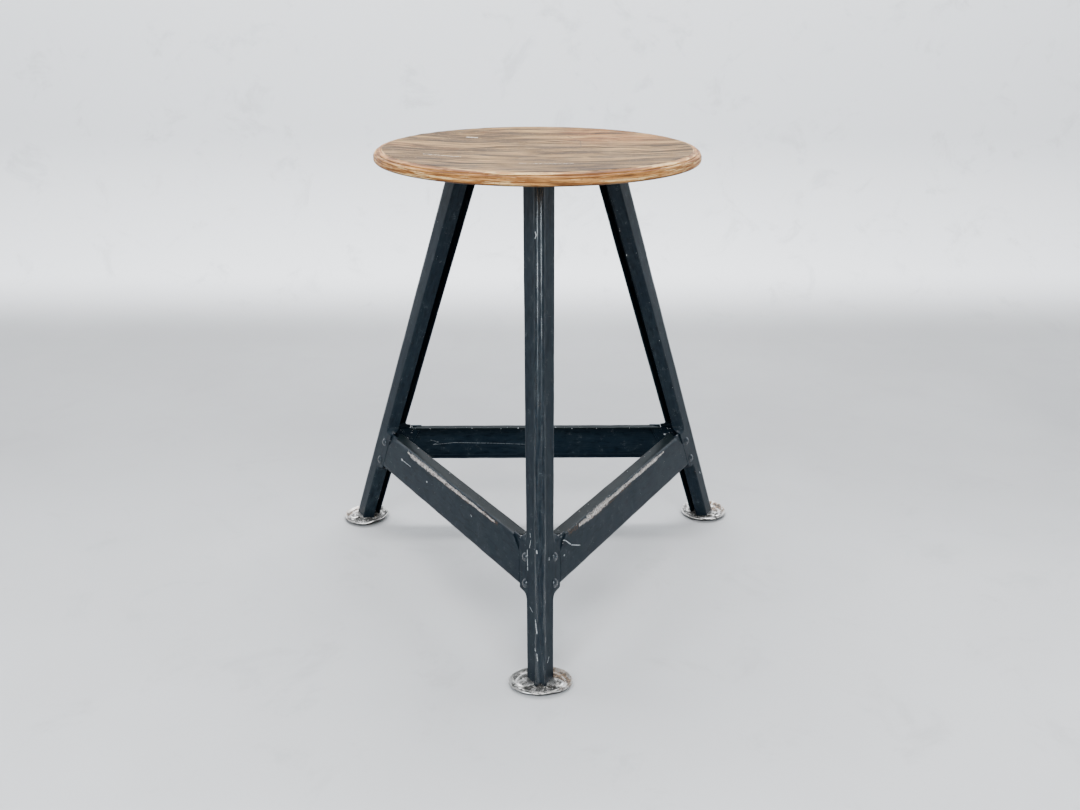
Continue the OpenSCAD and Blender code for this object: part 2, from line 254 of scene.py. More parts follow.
class Finish:
    """Builds one material out of nodes."""

    def __init__(self, name):
        self.material = bpy.data.materials.new(name)
        self.material.use_nodes = True
        self.tree = self.material.node_tree
        self.tree.nodes.clear()

    def node(self, kind, settings=None, sockets=None, out=0):
        """Add a node: its settings come first, then the values or links of its sockets."""
        made = self.tree.nodes.new(kind)
        for key, value in (settings or {}).items():
            setattr(made, key, value)
        for key, value in (sockets or {}).items():
            socket = made.inputs[key]
            if isinstance(value, Socket):
                self.tree.links.new(value.output, socket)
            elif socket.type == "RGBA":
                socket.default_value = (*value[:3], 1.0)
            else:
                socket.default_value = value
        return Socket(self, made.outputs[out]) if made.outputs else None

    def mix(self, factor, low, high):
        """A colour between low and high."""
        settings = {"data_type": "RGBA", "clamp_factor": True}
        return self.node("ShaderNodeMix", settings, {0: factor, 6: low, 7: high}, 2)

    def place(self):
        """The point in the stool's own frame."""
        return self.node("ShaderNodeTexCoord", {}, {}, "Object")

    def stored(self, name, out="Fac"):
        """Something that the mesh keeps at each point."""
        return self.node("ShaderNodeAttribute", {"attribute_name": name}, {}, out)

    def vector(self, operation, left, right=(0, 0, 0), out=0):
        return self.node("ShaderNodeVectorMath", {"operation": operation}, {0: left, 1: right}, out)

    def grain(self, place, scale, detail=3.0, rough=0.55, twist=0.0, stretch=None):
        """Noise between 0 and 1 with that many waves in a metre."""
        if stretch:
            place = self.vector("MULTIPLY", place, stretch)
        sockets = {"Vector": place, "Scale": scale, "Detail": detail}
        sockets["Roughness"] = rough
        sockets["Distortion"] = twist
        return self.node("ShaderNodeTexNoise", {}, sockets, "Fac")

    def ease(self, value, low, high, at_low=0.0, at_high=1.0):
        """A smooth step from at_low to at_high as the value goes from low to high."""
        settings = {"interpolation_type": "SMOOTHSTEP"}
        sockets = {"Value": value, "From Min": low, "From Max": high}
        sockets["To Min"] = at_low
        sockets["To Max"] = at_high
        return self.node("ShaderNodeMapRange", settings, sockets, "Result")

    def stroke(self, place, start, end, width, ragged):
        """1 on a line from start to end in the sheet's own plane, 0 beyond its width."""
        start = Vector((start[0], start[1], 0.0))
        reach = Vector((end[0], end[1], 0.0)) - start
        from_start = self.vector("SUBTRACT", place, tuple(start))
        on_line = self.vector("DOT_PRODUCT", from_start, tuple(reach / reach.length_squared), "Value")
        held = on_line.math("MULTIPLY", on_line, 1.0, True)
        foot = self.node(
            "ShaderNodeVectorMath", {"operation": "SCALE"}, {0: tuple(reach), "Scale": held})
        away = self.vector("DISTANCE", from_start, foot, "Value") + ragged
        return self.ease(away, width * 0.5, width * 0.2)

    def strokes(self, place, marks, ragged):
        """The most of several strokes, or 0 if there are none. A mark is (start, end, width),
        and ragged gives the unevenness that goes with a width."""
        most = None
        for start, end, width in marks:
            line = self.stroke(place, start, end, width, ragged(width))
            most = line if most is None else most.either(line)
        return 0.0 if most is None else most

    def surface(self, sockets):
        """Finish the material with one shader."""
        shader = self.node("ShaderNodeBsdfPrincipled", {}, sockets)
        self.node("ShaderNodeOutputMaterial", {}, {"Surface": shader})
        return self.material

    def bump(self, height, depth, strength=1.0):
        sockets = {"Strength": strength, "Distance": depth, "Height": height}
        return self.node("ShaderNodeBump", {}, sockets, "Normal")


def in_millimetres(*rows):
    """Marks for Finish.strokes, from rows of the start's and the end's two coordinates and the
    width, all in millimetres."""
    return [((x * MM, y * MM), (end_x * MM, end_y * MM), width * MM)
            for x, y, end_x, end_y, width in rows]


def enamel_finish(
        name, looks, marks=(), worn_lines=(), rust_lines=(), inner_marks=(), lie=(1.0, 0.06),
        wear=1.0, gloss=1.0, painted_flange_shade=0.0):
    """Old glossy enamel, chipped and scratched. Marks are strokes of bare metal, worn lines are
    broad ones along a bend, rust lines are brown, and inner marks lie on the sheet's back. All
    are (start, end, width) in the sheet's own plane. Fine streaks run the way that lie is
    smaller, and the flange shade is a painted shade that darkens what lies above the top bend."""
    finish = Finish(name)
    place = finish.place()
    sheet = finish.stored("sheet", "Vector")
    ridge = finish.stored("ridge")
    inside = finish.stored("inside")
    polish = finish.stored("polish")
    outside = 1.0 - inside

    clouds = finish.grain(place, 14.0, 4.0, 0.6)
    blotches = finish.grain(place, 95.0, 4.0, 0.65)
    specks = finish.grain(place, 620.0, 2.0, 0.6)
    rubbed = finish.grain(sheet, 800.0, 4.0, 0.7, 0.2, (*lie, 1.0))
    stained = finish.grain(sheet, 260.0, 5.0, 0.7, 0.4, (lie[0] ** 0.5, lie[1] ** 0.5, 1.0))
    shake = finish.grain(place, 420.0, 3.0, 0.7)

    dull = finish.ease(clouds * 0.5 + blotches * 0.5, 0.40, 0.64)
    dull = dull * 0.50 + finish.ease(rubbed, 0.50, 0.68) * 0.45
    colour = finish.mix(dull, looks.enamel, looks.enamel_dull)
    colour = finish.mix(finish.ease(stained, 0.50, 0.64) * 0.65, colour, (0.0022, 0.0050, 0.0085))
    colour = finish.mix(finish.ease(rubbed * 0.6 + stained * 0.4, 0.42, 0.33) * 0.7, colour,
                        (0.034, 0.047, 0.053))
    dusty = finish.ease(blotches, 0.56, 0.72) * finish.ease(specks, 0.45, 0.62)
    colour = finish.mix(dusty * 0.05, colour, looks.chip)
    # Painted shade: the top flange, above the strut's top bend, is darkened.
    if painted_flange_shade:
        above = finish.vector("DOT_PRODUCT", sheet, (0.0, 1.0, 0.0), "Value")
        above = finish.ease(above, 0.5 * MM, 2.0 * MM)
        colour = finish.mix(above * painted_flange_shade, colour, (0.0035, 0.0058, 0.0058))

    # Small chips: few on the flats, more along folds and edges
    pitted = finish.grain(place, 240.0, 3.0, 0.6)
    chips = finish.ease(pitted + ridge * 0.10 * wear, 0.765, 0.80)
    fine = finish.ease(finish.grain(place, 900.0, 1.0, 0.5) + ridge * 0.05 * wear, 0.79, 0.83)
    bare = chips.either(fine * finish.ease(blotches, 0.46, 0.56) * 0.7)
    broken = finish.ease(shake * 0.5 + specks * 0.5, 0.38, 0.50)
    scratched = finish.strokes(sheet, marks, lambda width: (shake - 0.5) * (width * 0.7))
    bare = bare.either(scratched * broken * 0.8)
    on_back = finish.strokes(sheet, inner_marks, lambda width: (shake - 0.5) * (width * 0.7))
    scored = (bare * outside).either(on_back * inside * broken * 0.25)
    patchy = finish.grain(sheet, 1.0, 4.0, 0.70, 0.0, (85.0, 460.0, 1.0))
    rust_run = finish.strokes(sheet, rust_lines, lambda width: (patchy - 0.5) * (width * 1.6))
    rusty = finish.ease(pitted + ridge * 0.09 * wear, 0.73, 0.76) * 0.35
    rusty = rusty.either(rust_run * finish.ease(shake * 0.7 + specks * 0.3, 0.44, 0.62) * 0.8)

    colour = finish.mix(rusty * outside * 0.85, colour, looks.rust)
    colour = finish.mix(scored * 0.9, colour, looks.chip)
    metal = scored * 0.2
    gone = bare.either(rusty)
    if worn_lines:
        worn = finish.strokes(sheet, worn_lines, lambda width: (patchy - 0.5) * (width * 1.5))
        worn = worn * finish.ease(patchy, 0.36, 0.50) * finish.ease(shake, 0.30, 0.42)
        steel = finish.mix(finish.ease(shake, 0.40, 0.60), (0.30, 0.25, 0.21), looks.bare)
        steel = finish.mix(finish.ease(specks, 0.50, 0.65) * 0.6, steel, (0.84, 0.82, 0.79))
        colour = finish.mix(worn * outside, colour, steel)
        metal = metal.either(worn * outside * 0.55)
        gone = gone.either(worn)
    gone = gone * outside
    streaks = finish.ease(finish.grain(sheet, 1.0, 3.0, 0.65, 0.3, (330.0, 34.0, 1.0)), 0.40, 0.60)
    roughness = 0.30 + dull * 0.16 + gone * 0.20 + (specks - 0.5) * 0.08
    height = blotches * 0.30 + specks * 0.10 - gone * 0.9 + rubbed * 0.22
    return finish.surface({
        "Base Color": colour,
        "Metallic": metal,
        "Roughness": roughness,
        "Specular IOR Level": 0.06 * gloss,
        "Coat Weight": (polish * (0.18 + streaks * 0.62) + 0.03) * gloss * (1.0 - gone),
        "Coat Roughness": 0.21,
        "Coat IOR": 1.7,
        "Normal": finish.bump(height, 0.12 * MM, 0.6),
    })


def foot_finish(name, rust_side):
    """Trodden bare steel: bright on the rim, dark with dirt in the recess, rusty on one side, and a
    painted shade under the rolled rim.
    """
    finish = Finish(name)
    place = finish.place()
    rim = finish.stored("ridge")
    side = finish.stored("sheet", "Vector")
    painted_shade_below = finish.stored("inside")
    dirt = finish.grain(place, 130.0, 4.0, 0.7, 0.4)
    flecks = finish.grain(place, 420.0, 3.0, 0.65)
    across = finish.vector("DOT_PRODUCT", side, (rust_side, 0.4, 0.0), "Value")
    steel = finish.mix(finish.ease(flecks, 0.3, 0.7), (0.40, 0.39, 0.37), (0.72, 0.71, 0.69))
    dark = finish.ease(dirt * 0.75 + flecks * 0.25 - rim * 0.17, 0.36, 0.45)
    colour = finish.mix(dark, steel, (0.030, 0.029, 0.027))
    pale = finish.ease(flecks, 0.57, 0.66) * (1.0 - rim)
    colour = finish.mix(pale, colour, (0.78, 0.77, 0.74))
    rusty = finish.ease(across + (dirt - 0.5) * 1.6, 0.20, 0.60) * finish.ease(flecks, 0.42, 0.58)
    colour = finish.mix(rusty * 0.7, colour, (0.24, 0.15, 0.085))
    # Painted shade: the underside of the rolled rim and the bottom are made nearly black.
    colour = finish.mix(painted_shade_below, colour, (0.022, 0.021, 0.020))
    covered_and_shaded = dark.either(rusty * 0.9).either(pale).either(painted_shade_below)
    return finish.surface({
        "Base Color": colour,
        "Metallic": 0.9 * (1.0 - covered_and_shaded * 0.95),
        "Roughness": 0.30 + covered_and_shaded * 0.35 + (flecks - 0.5) * 0.15,
        "Normal": finish.bump(dirt * 0.7 + flecks * 0.5, 0.5 * MM, 0.7),
    })


def wood_figure(finish, place, depth):
    """The noises of the wood's figure. Its fibres run along X and sway a little."""
    # The dish cuts through the layers, so the grain's lines shift with the depth
    shift = finish.node("ShaderNodeCombineXYZ", {}, {"Y": depth * 3.2})
    fibre = finish.vector("ADD", place, shift)
    sway = finish.grain(place, 5.0, 2.0, 0.5)
    sway = finish.node("ShaderNodeCombineXYZ", {}, {"Y": (sway - 0.5) * 0.11})
    fibre = finish.vector("ADD", fibre, sway)
    return SimpleNamespace(
        bands=finish.grain(fibre, 1.0, 5.0, 0.62, 0.3, (2.4, 24.0, 8.0)),
        broad=finish.grain(fibre, 1.0, 4.0, 0.65, 0.5, (6.0, 62.0, 12.0)),
        lines=finish.grain(fibre, 1.0, 4.0, 0.70, 0.5, (12.0, 150.0, 20.0)),
        pores=finish.grain(fibre, 1.0, 3.0, 0.60, 0.0, (60.0, 520.0, 40.0)),
        clouds=finish.grain(place, 9.0, 4.0, 0.6),
        patches=finish.grain(place, 34.0, 4.0, 0.65),
        specks=finish.grain(place, 380.0, 2.0, 0.6),
        # This noise drives the edge's wear and its painted highlights.
        worn=finish.grain(place, 1.0, 4.0, 0.7, 0.0, (18.0, 18.0, 420.0)),
        plies=finish.grain(place, 1.0, 3.0, 0.6, 0.0, (22.0, 22.0, 620.0)),
    )


def top_wood(finish, looks, place, figure):
    """The greyed, scratched colour of the seat's top, and where it is cut into."""
    lines = figure.lines
    patches = figure.patches
    top = finish.mix(finish.ease(figure.bands, 0.32, 0.70), looks.wood, (0.185, 0.108, 0.043))
    warm_spot = finish.vector("DISTANCE", place, (0.105, 0.120, SEAT_HI.z), "Value")
    warm = finish.ease(warm_spot + (patches - 0.5) * 0.10, 0.115, 0.035)
    warm = warm.either(finish.ease(figure.clouds + (patches - 0.5) * 0.35, 0.56, 0.70) * 0.55)
    top = finish.mix(warm * 0.75, top, looks.wood_warm)
    grey = finish.ease(figure.clouds * 0.6 + patches * 0.4, 0.52, 0.40)
    top = finish.mix(grey * 0.40, top, (0.125, 0.087, 0.048))
    dark = finish.ease(lines, 0.51, 0.58) * 0.85 + finish.ease(figure.pores, 0.53, 0.62) * 0.55
    dark = dark + finish.ease(figure.broad, 0.53, 0.59) * 0.55
    top = finish.mix(dark, top, looks.wood_dark)
    pale = finish.ease(lines, 0.47, 0.38) * 0.65 + finish.ease(figure.specks, 0.62, 0.72) * 0.40
    pale = pale + finish.ease(figure.broad, 0.46, 0.37) * 0.50
    top = finish.mix(pale, top, (0.42, 0.255, 0.105))

    # Dark cuts and pale scratches, seen from above
    cuts = in_millimetres(
        (29, 144, 50, 134, 1.6),
        (50, 134, 72, 122, 1.4),
        (36, 110, 50, 78, 1.8),
        (50, 78, 49, 46, 1.6),
        (49, 46, 38, 22, 1.4),
        (-60, 30, -35, 22, 1.2),
    )
    scratches = in_millimetres(
        (-80, 96, -68, 95.5, 2.4),
        (-20, -75, 35, -78, 1.0),
        (-120, -30, -80, -36, 1.2),
    )
    flat = finish.vector("MULTIPLY", place, (1.0, 1.0, 0.0))
    ragged = (figure.specks - 0.5) * (2.0 * MM)
    cut = finish.strokes(flat, cuts, lambda width: ragged)
    top = finish.mix(cut * 0.7, top, (0.10, 0.065, 0.04))
    scratched = finish.strokes(flat, scratches, lambda width: ragged)
    return finish.mix(scratched, top, (0.86, 0.80, 0.72)), cut


def edge_wood(finish, looks, figure, edge, groove):
    """The golden colour of the rounded edge: plies show as thin lines, with pale patches that are
    partly wear and partly painted highlights, and a painted highlight along the arris.
    """
    worn = figure.worn
    side = finish.mix(finish.ease(figure.plies, 0.42, 0.58), looks.wood_edge, (0.48, 0.225, 0.068))
    # Pale patches along the plies: partly wear, partly painted highlights.
    side = finish.mix(finish.ease(worn, 0.54, 0.61) * 0.70, side, (0.88, 0.60, 0.27))
    side = finish.mix(finish.ease(worn, 0.47, 0.38) * 0.85, side, (0.120, 0.046, 0.013))
    side = finish.mix(finish.ease(figure.specks, 0.60, 0.72) * 0.55, side, (0.15, 0.070, 0.027))
    side = finish.mix(groove * 0.92, side, (0.080, 0.038, 0.016))
    # Painted highlight: a pale line along the arris, where the dished top turns into the edge.
    painted_arris_highlight = finish.ease(edge, 0.10, 0.35) * finish.ease(edge, 0.80, 0.50)
    return finish.mix(painted_arris_highlight * finish.ease(worn, 0.46, 0.56) * 0.60, side, (0.80, 0.54, 0.27))


def wood_finish(name, looks):
    """Weathered plywood: a greyed dished top, a golden edge with painted highlights and a painted
    shade on its lower rounding, and a plain underside.
    """
    finish = Finish(name)
    place = finish.place()
    edge = finish.stored("edge")
    under = finish.stored("under")
    figure = wood_figure(finish, place, finish.stored("depth"))
    top, cut = top_wood(finish, looks, place, figure)
    side = edge_wood(finish, looks, figure, edge, finish.stored("groove"))
    colour = finish.mix(finish.ease(edge + (figure.worn - 0.5) * 0.5, 0.30, 0.60), top, side)
    # Painted shade: the edge's lower rounding, which faces down, is darkened.
    colour = finish.mix(finish.ease(under, 0.15, 0.55) * 0.85, colour, (0.050, 0.024, 0.010))
    below = finish.mix(finish.ease(figure.lines, 0.35, 0.65), (0.40, 0.25, 0.13), (0.52, 0.35, 0.20))
    colour = finish.mix(finish.ease(under, 0.97, 1.0), colour, below)
    height = figure.patches * 0.35 + figure.specks * 0.15 - cut * 0.8
    height = height - figure.lines * 0.6 - figure.pores * 0.5
    return finish.surface({
        "Base Color": colour,
        "Roughness": 0.60 + figure.patches * 0.22 - edge * 0.16,
        "Specular IOR Level": 0.14,
        "Normal": finish.bump(height, 0.40 * MM, 0.95),
    })


def screw_finish(name):
    """Dull zinc with a little rust."""
    finish = Finish(name)
    place = finish.place()
    spots = finish.grain(place, 400.0, 3.0, 0.6)
    colour = finish.mix(finish.ease(spots, 0.5, 0.65), (0.50, 0.49, 0.46), (0.26, 0.14, 0.07))
    return finish.surface({
        "Base Color": colour,
        "Metallic": finish.ease(spots, 0.5, 0.65, 0.95, 0.3),
        "Roughness": 0.35 + spots * 0.25,
        "Normal": finish.bump(spots, 0.1 * MM, 0.5),
    })


def floor_finish(name, studio):
    """Pale matt floor and wall with faint marks, and a painted shade that darkens the floor towards
    the back.
    """
    finish = Finish(name)
    place = finish.place()
    clouds = finish.grain(place, 1.6, 4.0, 0.6)
    marks = finish.grain(place, 11.0, 5.0, 0.7, 0.6)
    specks = finish.grain(place, 160.0, 3.0, 0.6)
    base = Vector(studio.backdrop)
    away = finish.vector("DOT_PRODUCT", place, (0.0, 1.0, 0.0), "Value")
    near = finish.mix(finish.ease(clouds, 0.35, 0.65), tuple(base * 0.91), tuple(base * 0.99))
    # Painted shade: the floor is darkened towards the back.
    far = finish.mix(finish.ease(clouds, 0.35, 0.65), tuple(base * 0.45), tuple(base * 0.50))
    colour = finish.mix(finish.ease(away, -0.55, 0.50), near, far)
    height = finish.vector("DOT_PRODUCT", place, (0.0, 0.0, 1.0), "Value")
    colour = finish.mix(finish.ease(height, 0.0, 0.09), colour, studio.wall)
    colour = finish.mix(finish.ease(marks, 0.54, 0.72) * 0.20, colour, tuple(base * 0.40))
    colour = finish.mix(finish.ease(specks, 0.64, 0.78) * 0.10, colour, tuple(base * 0.30))
    return finish.surface({
        "Base Color": colour,
        "Roughness": 0.52 + marks * 0.16,
        "Normal": finish.bump(specks * 0.6 + marks * 0.4, 0.6 * MM, 0.35),
    })


# ---- meshes -----------------------------------------------------------------------------


class Stock:
    """Points, faces and what each point stores, on their way into one mesh."""

    def __init__(self, *stored):
        self.points = []
        self.faces = []
        self.stored = {name: [] for name in stored}

    def point(self, place, **stored):
        self.points.append(tuple(place))
        for name, values in self.stored.items():
            values.append(stored.get(name, (0.0, 0.0) if name == "sheet" else 0.0))
        return len(self.points) - 1

    def band(self, lower, upper, closed=True):
        """Faces between two rows of points."""
        count = len(lower)
        for i in range(count if closed else count - 1):
            j = (i + 1) % count
            self.faces.append((lower[i], lower[j], upper[j], upper[i]))

    def piece(self, name, material, sharp=35.0):
        """The finished object, with faces turned outward and shaded smooth up to an angle."""
        mesh = bpy.data.meshes.new(name)
        mesh.from_pydata(self.points, [], self.faces)
        work = bmesh.new()
        work.from_mesh(mesh)
        bmesh.ops.recalc_face_normals(work, faces=work.faces)
        work.to_mesh(mesh)
        work.free()
        for stored, values in self.stored.items():
            if stored == "sheet":
                layer = mesh.attributes.new(stored, "FLOAT_VECTOR", "POINT")
                flat = [x for value in values for x in (value[0], value[1], 0.0)]
                layer.data.foreach_set("vector", flat)
            else:
                layer = mesh.attributes.new(stored, "FLOAT", "POINT")
                layer.data.foreach_set("value", values)
        mesh.polygons.foreach_set("use_smooth", [True] * len(mesh.polygons))
        mesh.set_sharp_from_angle(angle=math.radians(sharp))
        mesh.materials.append(material)
        mesh.update()
        made = bpy.data.objects.new(name, mesh)
        bpy.context.scene.collection.objects.link(made)
        return made


def settle(piece, slot, *nodes):
    """The piece stands for its CAD nodes and moves with the stool's one body."""
    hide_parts(*nodes)
    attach(piece, "root")


def smooth_step(value):
    """A smooth step from 0 to 1, held at both ends."""
    held = min(1.0, max(0.0, value))
    return held * held * (3 - 2 * held)


def along(angle, length):
    """A step of that length in the plane."""
    return Vector((math.cos(angle), math.sin(angle))) * length


def spread(start, end, count):
    """Evenly spaced values, both ends included."""
    return [start + (end - start) * i / count for i in range(count + 1)]


def waviness(seed, x, y, amount):
    """How far old knocks have pushed the sheet out at a spot in its own plane."""
    slow = noise.noise(Vector((x * 38.0, y * 22.0, seed * 7.3)))
    quick = noise.noise(Vector((x * 120.0, y * 95.0, seed * 3.1 + 40.0)))
    return amount * (slow + 0.35 * quick)


def loft_sheet(stock, rows, to_world, thickness, chamfer):
    """A closed shell of folded sheet. Each row holds stations (place, normal, height, stored)
    from one free edge to the other, on the sheet's outer side."""
    last_row = len(rows) - 1
    outers = []
    inners = []
    for r, row in enumerate(rows):
        last = len(row) - 1
        outer = []
        inner = []
        for i, (place, out, height, stored) in enumerate(row):
            cut = chamfer if i in (0, last) or r in (0, last_row) else 0.0
            outer.append(stock.point(to_world(place - out * cut, height), **stored))
            stored = dict(stored, inside=1.0)
            deep = thickness - cut
            inner.append(stock.point(to_world(place - out * deep, height), **stored))
        outers.append(outer)
        inners.append(inner)
    for r in range(last_row):
        stock.band(outers[r], outers[r + 1], False)
        stock.band(inners[r + 1], inners[r], False)
        for i in (0, -1):
            stock.faces.append((outers[r][i], outers[r + 1][i], inners[r + 1][i], inners[r][i]))
    for r in (0, last_row):
        stock.band(outers[r], inners[r], False)


def slab(stock, outline, low, high, bevel, to_world, sheet_of=None):
    """A closed flat plate with a convex outline and bevelled edges."""
    middle = sum(outline, Vector((0.0, 0.0))) / len(outline)
    rows = []
    for level, inset in ((low, bevel), (low + bevel, 0.0), (high - bevel, 0.0), (high, bevel)):
        row = []
        for spot in outline:
            from_middle = spot - middle
            spot = middle + from_middle * (1 - inset / from_middle.length)
            sheet = sheet_of(spot) if sheet_of else (0.0, 0.0)
            ridge = 1.0 if inset else 0.7
            row.append(stock.point(to_world(spot, level), sheet=sheet, ridge=ridge))
        rows.append(row)
    for lower, upper in zip(rows, rows[1:]):
        stock.band(lower, upper)
    stock.faces.append(tuple(reversed(rows[0])))
    stock.faces.append(tuple(rows[-1]))


# ---- legs -------------------------------------------------------------------------------


def corner_r(z):
    """Distance from the seat's axis to the pyramid's edge at height z."""
    return CORNER_R - LEAN * z


def fold_q(z):
    """Distance from the pyramid's edge to a leg's fold at height z."""
    return FOLD_Q + FOLD_GAIN * z


def ear_opening(z):
    """1 where the return flange is opened flat into an ear, 0 where it is folded."""
    if z < EAR_LOW:
        return smooth_step((z - EAR_LOW + EAR_RUN) / EAR_RUN)
    return 1 - smooth_step((z - EAR_HIGH) / EAR_RUN)


def half_section(shape, z):
    """Stations of half a leg's section, from the nose to the flange's edge, with the distance
    along the sheet from the nose and how sharp the ridge is there."""
    out_a = math.radians(90) - FLANK
    flank_a = math.radians(180) - FLANK
    turn = math.radians(60) * (1 - ear_opening(z))
    nose_r = shape.nose_round
    fold_r = shape.fold_round
    corner = Vector((corner_r(z), 0.0))
    nose_c = corner - Vector((nose_r / math.sin(FLANK), 0.0))
    nose_tan = nose_r / math.tan(FLANK)
    fold_tan = fold_r * math.tan(turn / 2)
    half_arc = fold_r * turn / 2
    bend = corner + along(flank_a, fold_q(z))
    bend_c = bend - along(flank_a, fold_tan) - along(out_a, fold_r)
    flank_start = corner + along(flank_a, nose_tan)
    flank_len = fold_q(z) - nose_tan - fold_tan
    nose_len = nose_r * out_a
    flange_start = bend + along(flank_a + turn, fold_tan)
    flange_len = shape.flange - fold_tan
    window = 3.2 * MM
    fold_at = nose_len + flank_len + half_arc
    total = fold_at + half_arc + flange_len
    stations = []
    places = spread(0.0, nose_len, 8)
    places += spread(nose_len, fold_at - window, 8)[1:]
    places += spread(fold_at - window, fold_at + window, 10)[1:]
    places += spread(fold_at + window, total - 0.55 * MM, 3)[1:]
    places.append(total)
    for s in places:
        if s <= nose_len:
            angle = s / nose_r
            spot = nose_c + along(angle, nose_r)
        elif s <= fold_at - half_arc:
            angle = out_a
            spot = flank_start + along(flank_a, s - nose_len)
        elif s < fold_at + half_arc:
            angle = out_a + (s - fold_at + half_arc) / fold_r
            spot = bend_c + along(angle, fold_r)
        else:
            angle = out_a + turn
            spot = flange_start + along(flank_a + turn, s - fold_at - half_arc)
        nose_ridge = max(0.0, 1 - s / (5 * MM)) * 0.55
        fold_ridge = max(0.0, 1 - abs(s - fold_at) / (3 * MM)) * (turn / math.radians(60)) * 0.7
        tip_ridge = max(0.0, 1 - (total - s) / (1.5 * MM))
        stations.append((spot, along(angle, 1.0), s, max(nose_ridge, fold_ridge, tip_ridge)))
    return stations


def leg_rows(shape, seed, notch):
    """Rows of stations up one leg."""
    # Closest together where the return flange opens into the ear and closes again
    heights = [LEG_BASE, LEG_BASE + 0.5 * MM]
    heights += spread(LEG_BASE + 3 * MM, 72 * MM, 17)
    heights += spread(72 * MM, 88 * MM, 12)[1:]
    heights += spread(88 * MM, 130 * MM, 11)[1:]
    heights += spread(130 * MM, 142 * MM, 12)[1:]
    heights += spread(142 * MM, LEG_TOP - 0.5 * MM, 66)[1:]
    heights.append(LEG_TOP)
    notch_reach = 16 * MM
    rows = []
    for z in heights:
        row = []
        half = half_section(shape, z)
        for side, stations in ((-1, reversed(half[1:])), (1, half)):
            for spot, out, s, ridge in stations:
                spot = Vector((spot.x, side * spot.y))
                out = Vector((out.x, side * out.y))
                ear = ear_opening(z)
                calm = 1 - 0.6 * ear
                spot = spot + out * waviness(seed, side * s, z, shape.unevenness * calm)
                up = notch * max(0.0, 1 - s / (5.5 * MM)) ** 0.7
                up *= max(0.0, 1 - (z - LEG_BASE) / notch_reach)
                spot = spot - Vector((LEAN * up, 0.0))
                low_end = max(0.0, 1 - (z - LEG_BASE) / (6 * MM))
                shiny = 1 - smooth_step((s - 6 * MM) / (2 * MM))
                stored = {"sheet": (side * s, z), "ridge": max(ridge, 0.8 * low_end),
                          "polish": shiny}
                row.append((spot, out, z + up, stored))
        rows.append(row)
    return rows


def lug_centre(side, z):
    """The middle of a lug's round tip, in the leg's own plan."""
    root = Vector((corner_r(z), 0.0)) + along(side * (math.pi - FLANK), LUG_Q)
    return root + along(side * (math.pi / 2 - FLANK), LUG_REACH)


def lug_outline(side, z):
    """A lug turned out from a flank, seen from above: a round tip with straight sides."""
    root = Vector((corner_r(z), 0.0)) + along(side * (math.pi - FLANK), LUG_Q)
    out_a = side * (math.pi / 2 - FLANK)
    tip = root + along(out_a, LUG_REACH)
    outline = [tip + along(out_a + a, LUG_R) for a in spread(-math.pi / 2, math.pi / 2, 20)]
    back = root - along(out_a, 1.2 * MM)
    outline.append(back + along(out_a + math.pi / 2, LUG_R))
    outline.append(back + along(out_a - math.pi / 2, LUG_R))
    return outline


def turned(azimuth):
    """A function that takes a spot in a leg's own plan and a height into the stool's frame."""
    turn = Matrix.Rotation(math.radians(azimuth), 3, "Z")
    return lambda spot, z: turn @ Vector((spot[0], spot[1], z))


def build_leg(name, shape, material, azimuth, seed, notch):
    """A folded leg with the two lugs at its top. The notch at the nose leaves room for the foot."""
    stock = Stock("sheet", "ridge", "inside", "polish")
    to_world = turned(azimuth)
    loft_sheet(stock, leg_rows(shape, seed, notch), to_world, shape.sheet, 0.5 * MM)
    for side in (-1, 1):
        slab(stock, lug_outline(side, LEG_TOP), LEG_TOP - shape.sheet, LEG_TOP, 0.4 * MM, to_world,
             lambda spot, side=side: (side * 0.02, LEG_TOP))
    return stock.piece(name, material)


# ---- struts -----------------------------------------------------------------------------


def half_length(z, deep):
    """Half the length of a strut at height z and that deep behind its face: the ends run
    parallel to the legs, their upper corners are clipped, and the top flange ends slantwise."""
    plain = corner_r(z) * HALF_SIDE - STRUT_END_Q
    over = z - CLIP_Z
    blend = 2.5 * MM
    if over > blend:
        clipped = over
    elif over > -blend:
        clipped = (over + blend) ** 2 / (4 * blend)
    else:
        clipped = 0.0
    return plain - min(CLIP_SLOPE * clipped, FLANGE_CUT - FLANGE_SLANT * deep)


